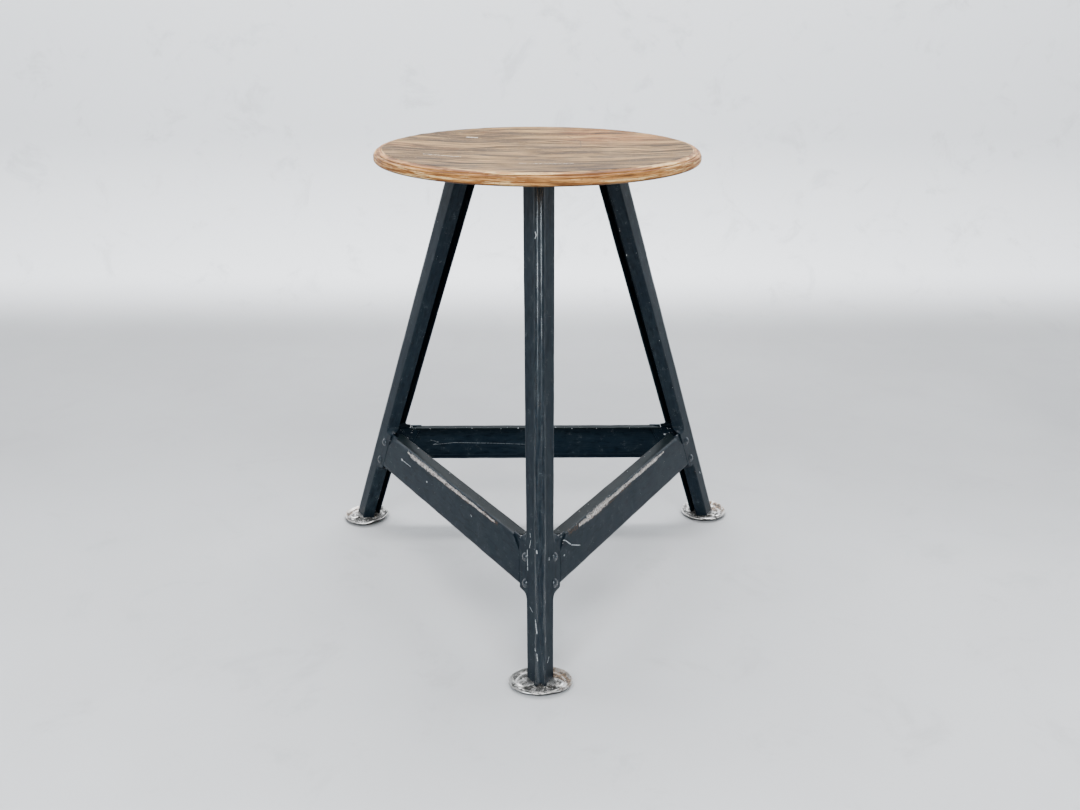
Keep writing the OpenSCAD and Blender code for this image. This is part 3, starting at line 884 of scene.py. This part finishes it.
def channel_path(shape):
    """Stations round a strut's section: x is the depth behind the face, y the height along the
    tilted face, with the distance from the middle of the top bend."""
    rise = math.radians(4)
    flange_a = FACE_TILT + rise
    r = shape.fold_round
    low = Vector((0.0, STRUT_Z / math.cos(FACE_TILT)))
    high = Vector((0.0, (STRUT_Z + shape.strut_height) / math.cos(FACE_TILT)))
    low_n = flange_a + math.radians(270)
    high_n = flange_a + math.radians(90)
    low_tan = r * math.tan((low_n - math.pi) / 2)
    high_tan = r * math.tan((math.pi - high_n) / 2)
    low_c = low + Vector((r, low_tan))
    high_c = high + Vector((r, -high_tan))
    tip = 0.55 * MM
    path = []
    for d in [shape.strut_low, shape.strut_low - tip] + spread(shape.strut_low - 3 * MM, low_tan, 2):
        path.append((low + along(flange_a, d), low_n))
    for angle in spread(low_n, math.pi, 8)[1:]:
        path.append((low_c + along(angle, r), angle))
    for y in spread(low.y + low_tan, high.y - high_tan, 15)[1:]:
        path.append((Vector((0.0, y)), math.pi))
    top_bend_from = len(path) - 1
    for angle in spread(math.pi, high_n, 8)[1:]:
        path.append((high_c + along(angle, r), angle))
    top_bend_to = len(path) - 1
    for d in spread(high_tan, shape.strut_top - tip, 4)[1:] + [shape.strut_top]:
        path.append((high + along(flange_a, d), high_n))
    middle = (top_bend_from + top_bend_to) // 2
    lengths = [0.0]
    for (spot, _), (after, _) in zip(path, path[1:]):
        lengths.append(lengths[-1] + (after - spot).length)
    return [(spot, angle, s - lengths[middle]) for (spot, angle), s in zip(path, lengths)]


def in_face(azimuth):
    """A function that takes depth and height along a face, and the distance along the strut,
    into the stool's frame."""
    turn = Matrix.Rotation(math.radians(azimuth), 3, "Z")
    tilt = Matrix.Rotation(-FACE_TILT, 3, "Y")
    foot = Vector((CORNER_R * 0.5, 0.0, 0.0))

    def to_world(spot, length):
        return turn @ (foot + tilt @ Vector((-spot.x, length, spot.y)))

    return to_world


def build_strut(name, shape, material, azimuth, seed):
    """A channel strut with a tongue at each end."""
    stock = Stock("sheet", "ridge", "inside", "polish")
    path = channel_path(shape)
    to_world = in_face(azimuth)
    # Rows stand close together towards the ends
    end = [-1.0, -0.9965] + spread(-1.0, -0.9, 8)[1:]
    steps = end + spread(-0.9, 0.9, 52)[1:] + [-t for t in reversed(end[:-1])]
    cos_tilt = math.cos(FACE_TILT)
    rows = []
    for t in steps:
        row = []
        for spot, angle, s in path:
            out = along(angle, 1.0)
            length = t * half_length(spot.y * cos_tilt, spot.x)
            calm = 1 - 0.7 * smooth_step((abs(t) - 0.85) / 0.15)
            push = waviness(seed, length, spot.y, shape.unevenness * 1.3 * calm)
            bend = max(0.0, 1 - abs(s) / (3.5 * MM))
            cut_end = max(0.0, 1 - (1 - abs(t)) / 0.012)
            tips = 1.0 if spot.x > shape.strut_low - 1.2 * MM else 0.0
            ridge = max(bend * 0.8, cut_end, tips * 0.8)
            stored = {"sheet": (length, s), "ridge": ridge, "polish": 0.5 * bend}
            row.append((spot + out * push, out, length, stored))
        rows.append(row)
    loft_sheet(stock, rows, to_world, shape.sheet, 0.5 * MM)

    # The tongues that lie behind the legs' ears
    for side in (-1, 1):
        outline = []
        wide = STRUT_END_Q + 14 * MM
        beside = STRUT_END_Q + 0.5 * MM
        for z, q in ((TONGUE_LOW, STRUT_END_Q + 5 * MM), (TONGUE_LOW, TONGUE_Q),
                     (TONGUE_HIGH, TONGUE_Q), (TONGUE_HIGH, beside), (TONGUE_TOP, beside),
                     (TONGUE_TOP, wide)):
            outline.append(Vector((side * (corner_r(z) * HALF_SIDE - q), z / cos_tilt)))
        slab(stock, outline, shape.sheet, 2 * shape.sheet, 0.3 * MM,
             lambda spot, level: to_world(Vector((level, spot.y)), spot.x))
    return stock.piece(name, material)


# ---- rivets -----------------------------------------------------------------------------


def dome(stock, radius, height, to_world, seed):
    """A domed rivet head, knocked a little out of round."""
    ball = (radius * radius + height * height) / (2 * height)
    edge_a = math.asin(radius / ball)
    steps = 28
    rows = []
    profile = [(radius * 0.96, -0.3 * MM), (radius, 0.12 * MM)]
    for angle in spread(edge_a * 0.96, edge_a * 0.12, 7):
        profile.append((ball * math.sin(angle), height - ball + ball * math.cos(angle)))
    for r, h in profile:
        row = []
        for a in range(steps):
            angle = 2 * math.pi * a / steps
            knock = 1 + 0.05 * noise.noise(Vector((math.cos(angle), math.sin(angle), seed * 5.7)))
            flat = h - 0.12 * height * max(0.0, noise.noise(Vector((r * 700, angle, seed * 2.3))))
            spot = along(angle, r * knock)
            ridge = 0.25 + 0.3 * h / height
            row.append(stock.point(to_world(spot.x, spot.y, flat), ridge=ridge, polish=1.0))
        rows.append(row)
    for lower, upper in zip(rows, rows[1:]):
        stock.band(lower, upper)
    top = stock.point(to_world(0.0, 0.0, height), ridge=0.6, polish=1.0)
    count = len(rows[-1])
    for i in range(count):
        stock.faces.append((rows[-1][i], rows[-1][(i + 1) % count], top))
    stock.faces.append(tuple(reversed(rows[0])))


def tail(stock, radius, depth, height, to_world):
    """The formed end of a rivet, behind the sheet."""
    steps = 20
    rows = []
    for r, h in ((radius, -depth + 0.2 * MM), (radius, -depth - height * 0.5),
                 (radius - 0.8 * MM, -depth - height)):
        rows.append([
            stock.point(to_world(*along(2 * math.pi * a / steps, r), h), ridge=0.3)
            for a in range(steps)])
    for lower, upper in zip(rows, rows[1:]):
        stock.band(lower, upper)
    stock.faces.append(tuple(rows[0]))
    stock.faces.append(tuple(rows[-1]))


def on_flank(azimuth, side, q, z):
    """A function from a rivet's own frame into the stool's, with its axis square to the face."""
    face = math.radians(azimuth + side * 60)
    place = Vector((corner_r(z) / 2, side * (q - corner_r(z) * HALF_SIDE), z))
    turn = Matrix.Rotation(face, 3, "Z")
    square = Matrix.Rotation(-FACE_TILT, 3, "Y") @ Matrix.Rotation(math.radians(90), 3, "Y")
    return lambda x, y, h: turn @ (place + square @ Vector((x, y, h)))


def build_joint_rivets(name, shape, material, azimuth, side, seed):
    """The two rivets on one side of a leg's strut joint."""
    stock = Stock("sheet", "ridge", "inside", "polish")
    for i, z in enumerate(RIVET_HEIGHTS):
        to_world = on_flank(azimuth, side, RIVET_Q, z)
        dome(stock, shape.rivet_head / 2, 2.6 * MM, to_world, seed + i)
        tail(stock, shape.rivet_head / 2 - 0.5 * MM, 2 * shape.sheet, 1.6 * MM, to_world)
    return stock.piece(name, material, 50)


def build_foot_rivets(name, material, azimuth, seed):
    """The heads of the two rivets on a leg's lower lugs."""
    stock = Stock("sheet", "ridge", "inside", "polish")
    for side in (-1, 1):
        centre = lug_centre(side, LEG_BASE)
        turn = Matrix.Rotation(math.radians(azimuth), 3, "Z")

        def to_world(x, y, h, centre=centre, turn=turn):
            return turn @ Vector((centre.x + x, centre.y + y, LEG_BASE + 2 * MM + h))

        dome(stock, 4 * MM, 2 * MM, to_world, seed + side)
    return stock.piece(name, material, 50)


# ---- feet -------------------------------------------------------------------------------


def build_foot(name, material, azimuth, radius, oval, shift, seed, bend, bend_a, dents):
    """A trodden saucer with a rolled rim, pressed to an oval and shifted along its leg's own
    plan, with the leg's two lugs flattened on it. The bend lifts its rim on one side, and each
    dent is (angle, width, depth) in the rim."""
    stock = Stock("sheet", "ridge", "inside")
    sheet = 1.8 * MM
    # Distance in from the rim, height over the sheet and ridge, from the recess out to the rim
    pressed = (
        (10.5, 0.15, 0.1), (9.2, 0.7, 0.7), (8.4, 1.25, 1.0), (7.6, 1.35, 0.9), (6.8, 1.1, 0.5),
        (5.6, 0.8, 0.15), (4.2, 1.0, 0.15), (2.8, 1.8, 0.5), (1.6, 2.7, 0.9), (0.7, 3.05, 1.0),
        (0.0, 2.6, 1.0),
    )
    rolled_under = ((-0.1, 1.9, 0.8), (0.6, 1.2, 0.4), (2.2, -0.2, 0.1), (4.5, -1.1, 0.0))
    profile = [(flat * MM, sheet, 0.0, 0.0) for flat in (0, 6, 12, 16)]
    # Points under the rolled rim and on the bottom are flagged for painted shade.
    for painted_shade_below, part in ((0.0, pressed), (1.0, rolled_under)):
        for inset, height, ridge in part:
            profile.append((radius - inset * MM, sheet + height * MM, ridge, painted_shade_below))
    profile.append((radius - 7.5 * MM, 0.2 * MM, 0.0, 1.0))
    profile += [(r, 0.0, 0.0, 1.0) for r in (radius - 9.0 * MM, 12 * MM, 0.0)]
    steps = 120
    turn = Matrix.Rotation(math.radians(azimuth), 3, "Z")
    rows = []
    for r, height, ridge, painted_shade_below in profile:
        if r == 0.0:
            centre = turn @ Vector((FOOT_R + shift[0], shift[1], height))
            rows.append([stock.point(centre, inside=painted_shade_below)])
            continue
        row = []
        for a in range(steps):
            angle = 2 * math.pi * a / steps
            share = r / radius
            uneven = noise.noise(Vector((math.cos(angle) * 1.7, math.sin(angle) * 1.7, seed)))
            quick = noise.noise(Vector((math.cos(angle) * 6, math.sin(angle) * 6, seed + 9)))
            spot_r = r * (1 + 0.018 * uneven * share)
            z = height + share ** 6 * (0.5 * uneven + 0.3 * quick) * MM
            z += bend * share ** 4 * max(0.0, math.cos(angle - math.radians(bend_a))) ** 2
            for at, width, depth in dents:
                off = (angle - math.radians(at) + math.pi) % (2 * math.pi) - math.pi
                near = math.exp(-(off / math.radians(width)) ** 2) * share ** 8
                z += depth * near
                spot_r -= abs(depth) * 0.5 * near
            z = max(z, 0.0)
            spot = along(angle, spot_r)
            sheet_at = (math.cos(angle + math.radians(azimuth)) * share,
                        math.sin(angle + math.radians(azimuth)) * share)
            place = turn @ Vector((FOOT_R + shift[0] + spot.x * oval, shift[1] + spot.y, z))
            row.append(stock.point(place, sheet=sheet_at, ridge=ridge, inside=painted_shade_below))
        rows.append(row)
    for lower, upper in zip(rows, rows[1:]):
        if len(lower) == 1 or len(upper) == 1:
            centre = lower[0] if len(lower) == 1 else upper[0]
            ring = upper if len(lower) == 1 else lower
            for i in range(steps):
                stock.faces.append((centre, ring[i], ring[(i + 1) % steps]))
        else:
            stock.band(lower, upper)
    for side in (-1, 1):
        slab(stock, lug_outline(side, LEG_BASE), LEG_BASE, LEG_BASE + 2 * MM, 0.4 * MM,
             turned(azimuth))
    return stock.piece(name, material, 50)


# ---- seat -------------------------------------------------------------------------------


def build_seat(name, shape, material):
    """A round plywood seat: dished top, rolled edge with plies, flat base."""
    stock = Stock("edge", "groove", "depth", "under")
    rim_r = SEAT_HI.x
    top = SEAT_HI.z
    roll_r = rim_r - shape.edge_roll
    roll_h = shape.edge_height * 0.55
    low = top - shape.edge_height
    under_r = 3.5 * MM
    bearing = rim_r * 0.74
    profile = []
    for r in spread(0.004, roll_r, 46):
        profile.append((r, top - shape.dish * (1 - (r / roll_r) ** 2), 0.0, 0.0, 0.0))
    for i, angle in enumerate(spread(0.0, 90.0, 18)[1:]):
        a = math.radians(angle)
        # Shallow steps where the plies end in the rounding
        step = 0.0
        for ply, depth in ((3, 0.55), (9, 0.85), (14, 0.70)):
            step += depth * MM * math.exp(-((i - ply) / 0.8) ** 2)
        r = roll_r + shape.edge_roll * math.sin(a)
        z = top - roll_h * (1 - math.cos(a))
        r -= step * math.sin(a)
        z -= step * math.cos(a)
        profile.append((r, z, min(1.0, i / 4), min(1.0, step / (0.60 * MM)), 0.0))
    start = top - roll_h
    for i, z in enumerate(spread(start, low + under_r, 4)[1:]):
        profile.append((rim_r - (0.25 * MM if i == 1 else 0.0), z, 1.0, 0.7 if i == 1 else 0.0, 0.0))
    for angle in spread(0.0, 90.0, 6)[1:]:
        a = math.radians(angle)
        profile.append((rim_r - under_r * (1 - math.cos(a)), low + under_r * (1 - math.sin(a)),
                        1.0, 0.0, angle / 90))
    base = SEAT_LO.z
    for share in spread(0.0, 1.0, 6)[1:]:
        r = rim_r - under_r + (bearing - rim_r + under_r) * share
        profile.append((r, low + (base - low) * share, 1.0, 0.0, 1.0))
    for r in spread(bearing, 0.010, 8)[1:]:
        profile.append((r, base, 1.0, 0.0, 1.0))

    steps = 288
    rows = []
    for r, z, edge, groove, under in profile:
        row = []
        for a in range(steps):
            angle = 2 * math.pi * a / steps
            x = r * math.cos(angle)
            y = r * math.sin(angle)
            ring = Vector((math.cos(angle) * 2.6, math.sin(angle) * 2.6, z * 60))
            slow = noise.noise(ring)
            quick = noise.noise(Vector((x * 95, y * 95, z * 140)))
            if under > 0.5:
                push = 0.0
                sink = 0.0
            elif edge > 0:
                push = (0.35 * slow + 0.30 * quick) * MM
                sink = 0.25 * quick * MM
            else:
                near = smooth_step((r - roll_r + 0.02) / 0.02)
                push = 0.0
                sink = 0.22 * noise.noise(Vector((x * 22, y * 55, 3.0))) * MM * (1 + near)
            place = ((r + push) * math.cos(angle), (r + push) * math.sin(angle), z + sink)
            uneven = groove * (0.55 + 0.9 * noise.noise(Vector((x * 30, y * 30, z * 900))))
            row.append(stock.point(place, edge=edge, groove=max(0.0, min(1.0, uneven)),
                                   depth=z - top, under=under))
        rows.append(row)
    for lower, upper in zip(rows, rows[1:]):
        stock.band(lower, upper)
    for row, under in ((rows[0], 0.0), (rows[-1], 1.0)):
        level = stock.points[row[0]][2]
        centre = stock.point((0.0, 0.0, level), depth=level - top, under=under, edge=under)
        for i in range(steps):
            stock.faces.append((centre, row[i], row[(i + 1) % steps]))
    return stock.piece(name, material, 50)


# ---- operators --------------------------------------------------------------------------


class STOOL_OT_seat(bpy.types.Operator):
    """Build the dished plywood seat"""

    bl_idname = "stool.seat"
    bl_label = "Seat"

    def execute(self, context):
        shape = context.scene.stool_shape
        material = wood_finish("weathered_plywood", context.scene.stool_looks)
        settle(build_seat("plywood_seat", shape, material), "seat_wood", "seat")
        return {"FINISHED"}


class STOOL_OT_legs(bpy.types.Operator):
    """Build the three folded legs"""

    bl_idname = "stool.legs"
    bl_label = "Legs"

    def execute(self, context):
        shape = context.scene.stool_shape
        looks = context.scene.stool_looks
        front_marks = in_millimetres(
            (-21.6, 127, -21.0, 108, 1.4),
            (-16.1, 145, -15.4, 142, 1.2),
            (-14.6, 139, -17.2, 131, 1.0),
            (-3.8, 133, -3.6, 131, 2.0),
            (14.0, 122, 14.2, 120.5, 2.2),
            (-4.4, 434, -3.2, 431, 1.4),
            (-3.2, 431, -4.6, 428, 1.2),
            (-17.0, 74, -11.5, 71, 0.7),
            (-6.2, 66, -4.0, 54, 1.8),
            (-7.0, 38, -6.4, 36.5, 1.8),
            (-4.0, 34, -3.2, 28, 1.3),
            (13.5, 27, 10.5, 23, 1.0),
        )
        legs = (
            ("front_leg", "leg_front", FRONT, 1, 5 * MM, front_marks),
            ("rear_left_leg", "leg_rear_left", REAR_LEFT, 2, 3 * MM,
             in_millimetres((-3, 40, -4, 34, 1.4))),
            ("rear_right_leg", "leg_rear_right", REAR_RIGHT, 3, 3 * MM,
             in_millimetres((-12, 66, -11.6, 64, 1.8))),
        )
        for name, node, azimuth, seed, notch, marks in legs:
            material = enamel_finish("enamel_" + name, looks, marks)
            piece = build_leg(name, shape, material, azimuth, seed, notch)
            settle(piece, "painted_steel", node)
        return {"FINISHED"}


class STOOL_OT_struts(bpy.types.Operator):
    """Build the three channel struts"""

    bl_idname = "stool.struts"
    bl_label = "Struts"

    def execute(self, context):
        shape = context.scene.stool_shape
        looks = context.scene.stool_looks
        left = {
            "marks": in_millimetres(
                (-123, -17, -121, -17, 3.4),
                (-120, -17, -97, -17, 0.9),
                (-52, -19, -51, -19, 2.2),
                (58, -16, 60, -16.5, 1.8),
            ),
            "worn_lines": in_millimetres(
                (-108, -2.8, -96, -3.4, 3.0),
                (-98, -3.6, -30, -3.6, 6.6),
                (-36, -3.4, 40, -3.2, 5.2),
                (38, -3.0, 84, -2.8, 3.8),
                (80, -2.8, 109, -2.8, 2.6),
            ),
            "rust_lines": in_millimetres(
                (76, -2.6, 114, -2.6, 5.0),
                (-60, -5.0, 50, -5.0, 3.2),
            ),
        }
        right = {
            "marks": in_millimetres(
                (-169, 2, -151, -6, 1.3),
                (-151, -6, -140, -16, 1.4),
                (-140, -16, -123, -24, 1.2),
                (-158, -20, -157, -20, 2.2),
            ),
            "worn_lines": in_millimetres(
                (-117, -3.4, -96, -3.6, 5.5),
                (-98, -3.6, -50, -3.4, 8.5),
                (-52, -3.2, 20, -3.0, 5.0),
                (16, -3.2, 84, -3.0, 5.6),
                (82, -2.8, 106, -2.6, 2.8),
            ),
            "rust_lines": in_millimetres(
                (-140, -2.0, -108, -3.0, 6.5),
                (-90, -7.5, 10, -5.5, 3.0),
            ),
        }
        rear = {
            "gloss": 0.25,
            "inner_marks": in_millimetres(
                (135, -21, 125, -24, 0.9),
                (125, -24, 132, -28, 0.9),
                (132, -28, 105, -25, 0.9),
                (105, -25, 60, -26, 0.9),
                (60, -26, 13, -28, 0.8),
            ),
        }
        struts = (
            ("left_strut", "strut_left", LEFT_FACE, 11, left),
            ("right_strut", "strut_right", RIGHT_FACE, 12, right),
            ("rear_strut", "strut_rear", REAR_FACE, 13, rear),
        )
        for name, node, azimuth, seed, marked in struts:
            # Painted shade darkens each strut's top flange.
            material = enamel_finish(
                "enamel_" + name, looks, lie=(0.06, 1.0), painted_flange_shade=0.75, **marked)
            piece = build_strut(name, shape, material, azimuth, seed)
            settle(piece, "painted_steel", node)
        return {"FINISHED"}


class STOOL_OT_feet(bpy.types.Operator):
    """Build the three pressed feet"""

    bl_idname = "stool.feet"
    bl_label = "Feet"

    def execute(self, context):
        feet = (
            ("front_foot", "foot_front", FRONT, 0.8, {
                "radius": 32.5 * MM, "oval": 0.74, "shift": (4.5 * MM, 0.0), "seed": 1,
                "bend": 1.5 * MM, "bend_a": 150,
                "dents": ((20, 12, 1.2 * MM), (-70, 10, -0.8 * MM))}),
            ("rear_left_foot", "foot_rear_left", REAR_LEFT, -0.5, {
                "radius": 28.5 * MM, "oval": 1.0, "shift": (-4.5 * MM, 7.5 * MM), "seed": 5,
                "bend": 3.5 * MM, "bend_a": 200,
                "dents": ((150, 14, 1.5 * MM), (-40, 9, 1.0 * MM))}),
            ("rear_right_foot", "foot_rear_right", REAR_RIGHT, 0.6, {
                "radius": 29.0 * MM, "oval": 1.0, "shift": (0.5 * MM, -1.0 * MM), "seed": 8,
                "bend": 1.5 * MM, "bend_a": 30,
                "dents": ((-120, 12, 1.0 * MM), (60, 10, -0.6 * MM))}),
        )
        for name, node, azimuth, rust_side, form in feet:
            material = foot_finish("trodden_steel_" + name, rust_side)
            piece = build_foot(name, material, azimuth, **form)
            settle(piece, "bare_steel", node)
        return {"FINISHED"}


class STOOL_OT_rivets(bpy.types.Operator):
    """Build the rivets of the strut joints and the feet"""

    bl_idname = "stool.rivets"
    bl_label = "Rivets"

    def execute(self, context):
        shape = context.scene.stool_shape
        looks = context.scene.stool_looks
        material = enamel_finish("enamel_rivets", looks, wear=1.6, gloss=1.7)
        joints = (
            ("front_leg_left", FRONT, -1),
            ("front_leg_right", FRONT, 1),
            ("left_leg_front", REAR_LEFT, 1),
            ("left_leg_rear", REAR_LEFT, -1),
            ("right_leg_front", REAR_RIGHT, -1),
            ("right_leg_rear", REAR_RIGHT, 1),
        )
        for seed, (joint, azimuth, side) in enumerate(joints):
            piece = build_joint_rivets(
                "rivets_" + joint, shape, material, azimuth, side, 2 * seed)
            settle(piece, "painted_steel", joint + "_rivets")
        steel = foot_finish("rivet_steel", 0.0)
        for seed, (leg, azimuth) in enumerate(
                (("front", FRONT), ("rear_left", REAR_LEFT), ("rear_right", REAR_RIGHT))):
            piece = build_foot_rivets("rivets_foot_" + leg, steel, azimuth, 30 + seed)
            settle(piece, "bare_steel", "foot_rivets_" + leg)
        return {"FINISHED"}


class STOOL_OT_underside(bpy.types.Operator):
    """Give the plate, its rivets and the screws under the seat their finishes"""

    bl_idname = "stool.underside"
    bl_label = "Underside"

    def execute(self, context):
        looks = context.scene.stool_looks
        enamel = enamel_finish("enamel_underside", looks, wear=0.5)
        zinc = screw_finish("dull_zinc")
        for node in ("seat_plate", "top_rivets_front", "top_rivets_rear_left",
                     "top_rivets_rear_right", "seat_screws"):
            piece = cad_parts[node]
            piece.data.materials.clear()
            piece.data.materials.append(zinc if node == "seat_screws" else enamel)
        return {"FINISHED"}


def area_light(name, place, target, size, power, colour):
    """A rectangular soft light that faces its target."""
    light = bpy.data.lights.new(name, "AREA")
    light.shape = "RECTANGLE"
    light.size = size[0]
    light.size_y = size[1]
    light.energy = power
    light.color = colour
    made = bpy.data.objects.new(name, light)
    made.location = place
    made.rotation_euler = (Vector(target) - Vector(place)).to_track_quat("-Z", "Y").to_euler()
    bpy.context.scene.collection.objects.link(made)
    return made


class STOOL_OT_stage(bpy.types.Operator):
    """Set up the floor, the wall, the lights and the camera"""

    bl_idname = "stool.stage"
    bl_label = "Stage"

    def execute(self, context):
        studio = context.scene.stool_studio
        stock = Stock()
        half_width = 3.2
        front_y = -3.4
        wall_y = 1.2
        wall_top = 3.0
        sweep = 0.35
        profile = [(front_y, 0.0), (-1.0, 0.0)]
        for angle in spread(0.0, math.pi / 2, 14):
            profile.append((wall_y - sweep + sweep * math.sin(angle),
                            sweep - sweep * math.cos(angle)))
        profile.append((wall_y, wall_top))
        across = spread(-half_width, half_width, 4)
        rows = [[stock.point((x, y, z)) for x in across] for y, z in profile]
        for lower, upper in zip(rows, rows[1:]):
            stock.band(lower, upper, False)
        backdrop = stock.piece("backdrop", floor_finish("backdrop_paint", studio), 80)

        world = bpy.data.worlds.new("room")
        world.use_nodes = True
        sky = world.node_tree.nodes["Background"]
        sky.inputs["Color"].default_value = (0.93, 0.96, 1.0, 1.0)
        sky.inputs["Strength"].default_value = studio.sky
        context.scene.world = world

        reach = 2.6
        for name, side, share in (("left_soft_box", -1, 1.0), ("right_soft_box", 1, 0.72)):
            angle = math.radians(36) * side
            place = (reach * math.sin(angle), -reach * math.cos(angle), 1.75)
            area_light(name, place, (0.0, 0.0, 0.25), (0.36, 1.4), studio.soft_boxes * share,
                       (0.85, 0.94, 1.0))
        area_light("overhead", (0.0, 0.2, 2.9), (0.0, 0.0, 0.0), (2.6, 2.2), studio.overhead,
                   (1.0, 0.99, 0.975))
        area_light("front_top", (0.0, -2.4, 2.7), (0.0, 0.3, 0.2), (2.4, 1.0), studio.front_top,
                   (1.0, 0.98, 0.96))
        area_light("wall_wash", (0.0, 0.8, 2.1), (0.0, 1.2, 1.05), (3.0, 0.4), studio.wall_wash,
                   (0.95, 0.97, 1.0))

        camera = bpy.data.cameras.new("camera")
        camera.sensor_width = 36.0
        camera.lens = 38.25
        camera.clip_start = 0.01
        camera.clip_end = 50.0
        made = bpy.data.objects.new("camera", camera)
        # It looks down on the stool a little, from just left of the front leg
        made.location = (-0.01925, -1.2484, 0.6782)
        right = Vector((0.99985, -0.01712, 0.00279))
        up = Vector((0.00348, 0.35551, 0.93467))
        back = right.cross(up)
        made.rotation_euler = Matrix((right, up, back)).transposed().to_euler()
        context.scene.collection.objects.link(made)
        context.scene.camera = made
        return {"FINISHED"}


class STOOL_PT_panel(bpy.types.Panel):
    """Lists the steps that build the stool, with its sizes and colours"""

    bl_idname = "STOOL_PT_panel"
    bl_label = "Workshop Stool"
    bl_space_type = "VIEW_3D"
    bl_region_type = "UI"
    bl_category = "Workshop Stool"

    def draw(self, context):
        for group in ("stool_shape", "stool_looks", "stool_studio"):
            box = self.layout.box()
            values = getattr(context.scene, group)
            for name in values.__annotations__:
                box.prop(values, name)
        for operator in OPERATORS:
            self.layout.operator(operator.bl_idname)


GROUPS = (
    ("stool_shape", StoolShape),
    ("stool_looks", StoolLooks),
    ("stool_studio", StoolStudio),
)
OPERATORS = (
    STOOL_OT_stage,
    STOOL_OT_seat,
    STOOL_OT_legs,
    STOOL_OT_struts,
    STOOL_OT_feet,
    STOOL_OT_rivets,
    STOOL_OT_underside,
)


def register():
    for name, group in GROUPS:
        bpy.utils.register_class(group)
        setattr(bpy.types.Scene, name, bpy.props.PointerProperty(type=group))
    for operator in OPERATORS:
        bpy.utils.register_class(operator)
    bpy.utils.register_class(STOOL_PT_panel)


def unregister():
    bpy.utils.unregister_class(STOOL_PT_panel)
    for operator in reversed(OPERATORS):
        bpy.utils.unregister_class(operator)
    for name, group in reversed(GROUPS):
        delattr(bpy.types.Scene, name)
        bpy.utils.unregister_class(group)


def main():
    """Build everything in order."""
    register()
    bpy.ops.stool.stage()
    bpy.ops.stool.seat()
    bpy.ops.stool.legs()
    bpy.ops.stool.struts()
    bpy.ops.stool.feet()
    bpy.ops.stool.rivets()
    bpy.ops.stool.underside()


if __name__ == "__main__":
    main()
